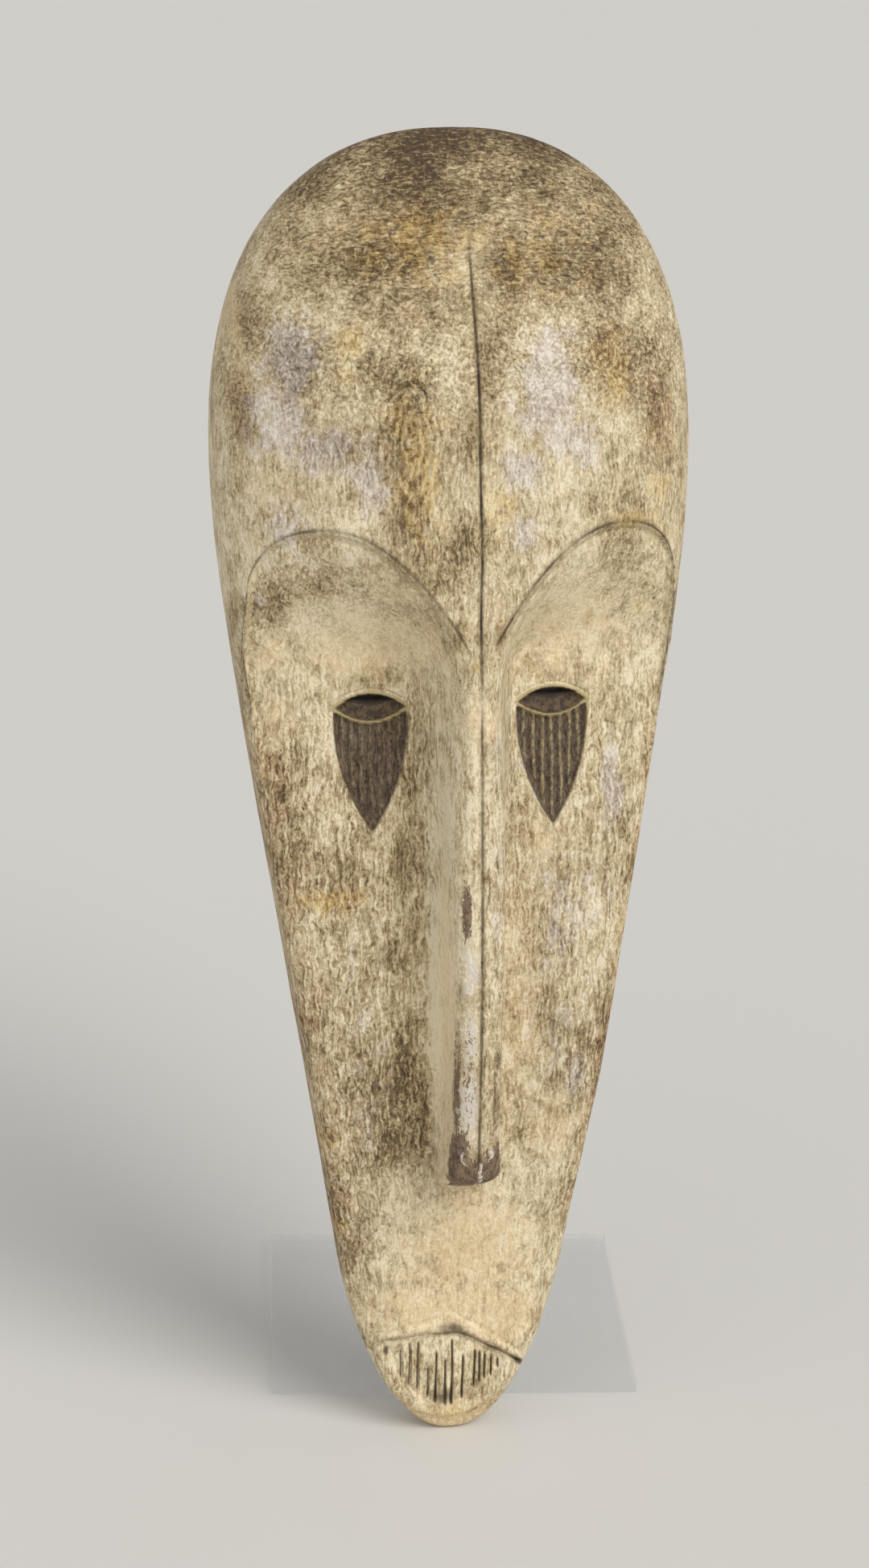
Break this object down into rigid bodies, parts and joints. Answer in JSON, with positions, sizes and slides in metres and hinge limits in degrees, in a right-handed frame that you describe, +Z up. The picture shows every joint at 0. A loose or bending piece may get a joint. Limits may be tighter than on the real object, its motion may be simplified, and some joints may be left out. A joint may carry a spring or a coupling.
{
  "type": "carved mask on an acrylic stand",
  "caption": "Tall carved wooden mask with a long heart-shaped face, white clay paint, slit eyes and a bar nose, hollow behind, leaning on a clear acrylic stand.",
  "frame": {"origin": "on the underside of the foot plate, straight below the mask's middle plane", "axes": "+Z up from the chin to the crown, the mask faces -Y, +X towards the mask's own left"},
  "size_m": [0.2301, 0.2663, 0.5996],
  "materials": {
    "painted_wood": "matt white clay paint worn and stained over brown wood",
    "clear_acrylic": "clear polished sheet"
  },
  "bodies": {
    "root": {"mask": "painted_wood", "foot_plate": "clear_acrylic", "upright": "clear_acrylic"}
  },
  "joints": []
}
